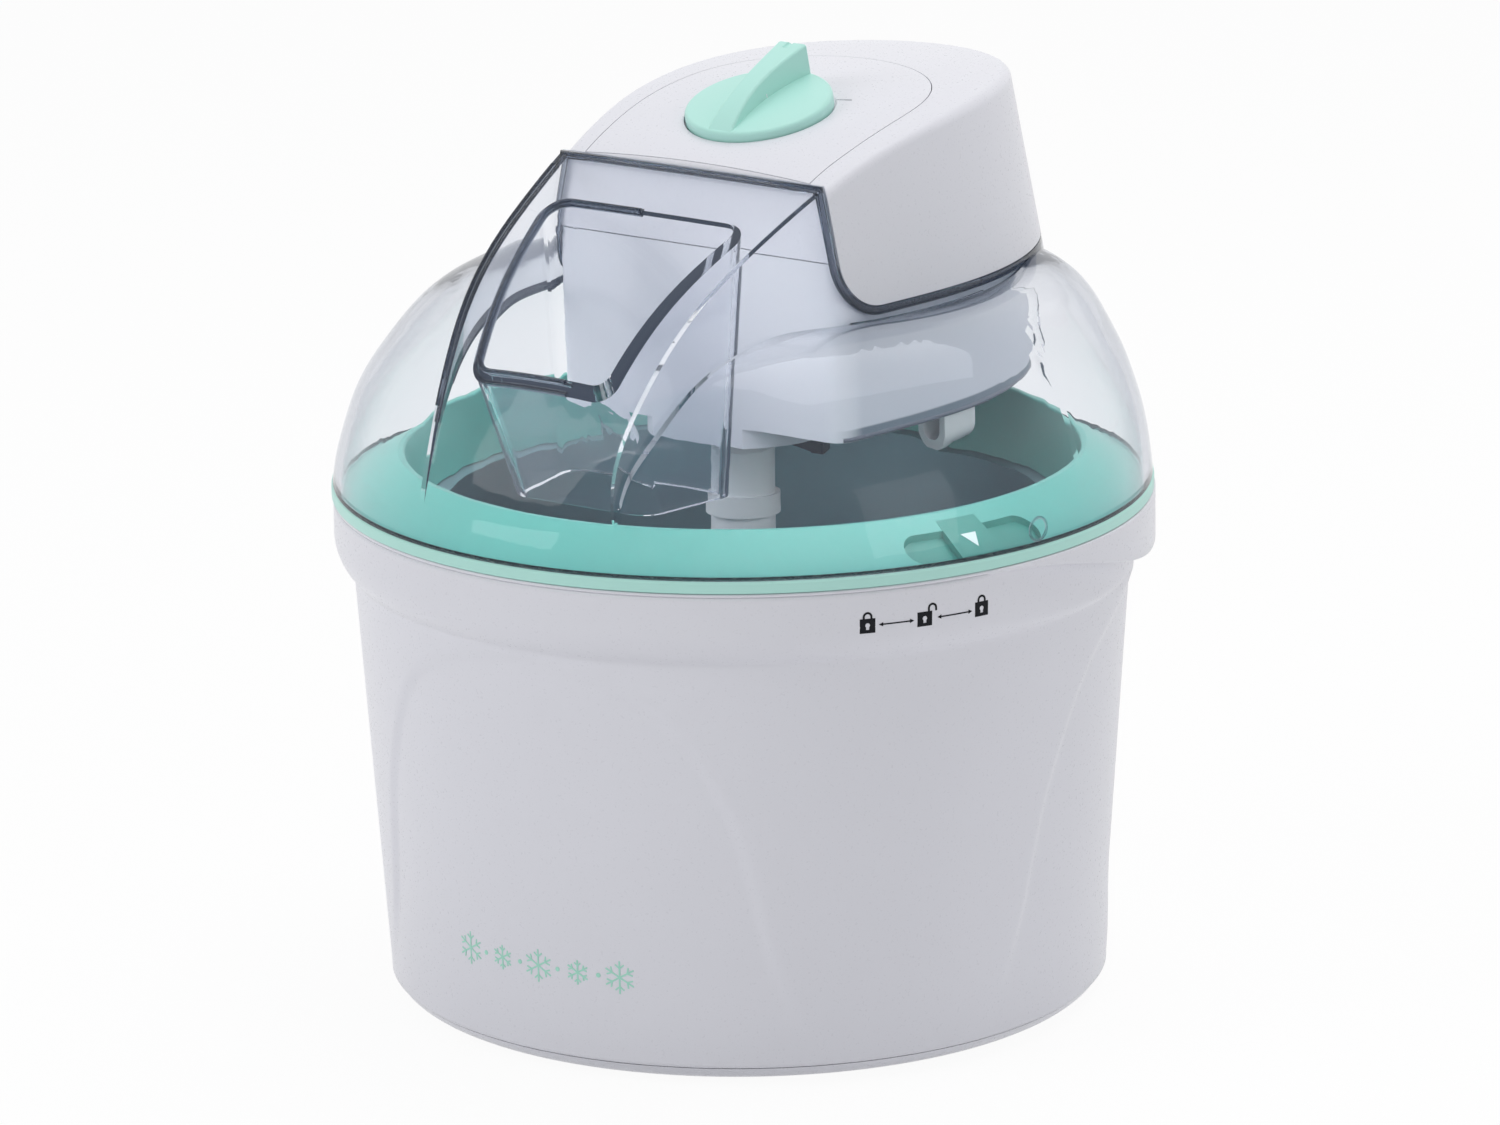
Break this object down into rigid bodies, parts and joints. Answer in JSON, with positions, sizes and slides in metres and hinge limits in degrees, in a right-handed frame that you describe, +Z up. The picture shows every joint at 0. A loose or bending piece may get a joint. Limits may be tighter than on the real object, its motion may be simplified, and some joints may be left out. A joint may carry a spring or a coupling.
{
  "type": "ice cream maker",
  "caption": "Tabletop ice cream maker: tapered bucket with a freezer tub, turning lock ring, clear lid with a fill chute, and a lift-off motor unit that turns a paddle.",
  "frame": {"origin": "on the surface the feet stand on, at the axis of the tub", "axes": "+Z up along the axis of the tub, -Y towards the front with the fill chute, +X to the right of a person facing the front"},
  "size_m": [0.2094, 0.2088, 0.2409],
  "materials": {
    "housing_white": "satin white",
    "inlay_white": "smooth white",
    "mint": "fine satin",
    "clear": "clear moulded plastic",
    "tub_aluminium": "drawn, satin",
    "shell_grey": "moulded",
    "coolant_gel": "frozen gel",
    "foot_rubber": "soft",
    "screw_steel": "plated",
    "motor_steel": "zinc plated",
    "black_plastic": "fine grain",
    "pale_plastic": "natural moulded",
    "bearing_brass": "turned"
  },
  "bodies": {
    "housing": {"housing": "housing_white", "base_plate": "housing_white", "rubber_feet": "foot_rubber", "base_screws": "screw_steel"},
    "tub": {"tub_inner": "tub_aluminium", "tub_outer": "shell_grey", "coolant": "coolant_gel", "rim_seal": "foot_rubber"},
    "lock_ring": {"lock_ring": "mint"},
    "lid": {"lid": "clear"},
    "motor_unit": {"motor_cover": "housing_white", "top_inlay": "inlay_white", "motor_base": "housing_white", "motor_can": "motor_steel", "gear_plate": "motor_steel", "motor_screws": "screw_steel", "cover_screws": "screw_steel", "cord_gland": "black_plastic", "rotary_switch": "black_plastic", "catches": "pale_plastic", "output_bushing": "bearing_brass", "idler_axle": "screw_steel"},
    "knob": {"knob": "mint", "knob_spindle": "pale_plastic"},
    "latch": {"latch_hook": "black_plastic"},
    "output": {"output_gear": "pale_plastic", "output_shaft": "screw_steel", "drive_coupling": "pale_plastic"},
    "paddle": {"paddle": "pale_plastic"},
    "idler": {"idler_gear": "pale_plastic"},
    "pinion": {"motor_pinion": "bearing_brass"}
  },
  "joints": [
    {"name": "tub_lift", "type": "slide", "parent": "housing", "child": "tub", "axis": [0, 0, 1], "range_m": [0, 0.11]},
    {"name": "ring_turn", "type": "hinge", "parent": "tub", "child": "lock_ring", "pos_m": [0, 0, 0.1312], "axis": [0, 0, 1], "range_deg": [-18.2, 0]},
    {"name": "lid_lift", "type": "slide", "parent": "tub", "child": "lid", "axis": [0, 0, 1], "range_m": [0, 0.12]},
    {"name": "unit_lift", "type": "slide", "parent": "lid", "child": "motor_unit", "axis": [0, 0, 1], "range_m": [0, 0.06]},
    {"name": "knob_turn", "type": "hinge", "parent": "motor_unit", "child": "knob", "pos_m": [0, 0.0096, 0.2265], "axis": [0, -0.2419, 0.9703], "range_deg": [-50, 0]},
    {"name": "latch_slide", "type": "slide", "parent": "motor_unit", "child": "latch", "axis": [0.9686, 0.2487, 0], "range_m": [0, 0.0025], "stiffness_N_per_m": 300},
    {"name": "output_turn", "type": "hinge", "parent": "motor_unit", "child": "output", "pos_m": [0, 0, 0.13], "axis": [0, 0, 1], "continuous": true},
    {"name": "paddle_turn", "type": "hinge", "parent": "tub", "child": "paddle", "pos_m": [0, 0, 0.07], "axis": [0, 0, 1], "continuous": true},
    {"name": "idler_turn", "type": "hinge", "parent": "motor_unit", "child": "idler", "pos_m": [0, 0.02115, 0.16], "axis": [0, 0, 1], "continuous": true},
    {"name": "pinion_turn", "type": "hinge", "parent": "motor_unit", "child": "pinion", "pos_m": [0, 0.0453, 0.166], "axis": [0, 0, 1], "continuous": true}
  ],
  "couplings": [
    {"joint": "output_turn", "follows": "paddle_turn", "ratio": 1},
    {"joint": "idler_turn", "follows": "paddle_turn", "ratio": -2.5},
    {"joint": "pinion_turn", "follows": "paddle_turn", "ratio": 7.5}
  ]
}
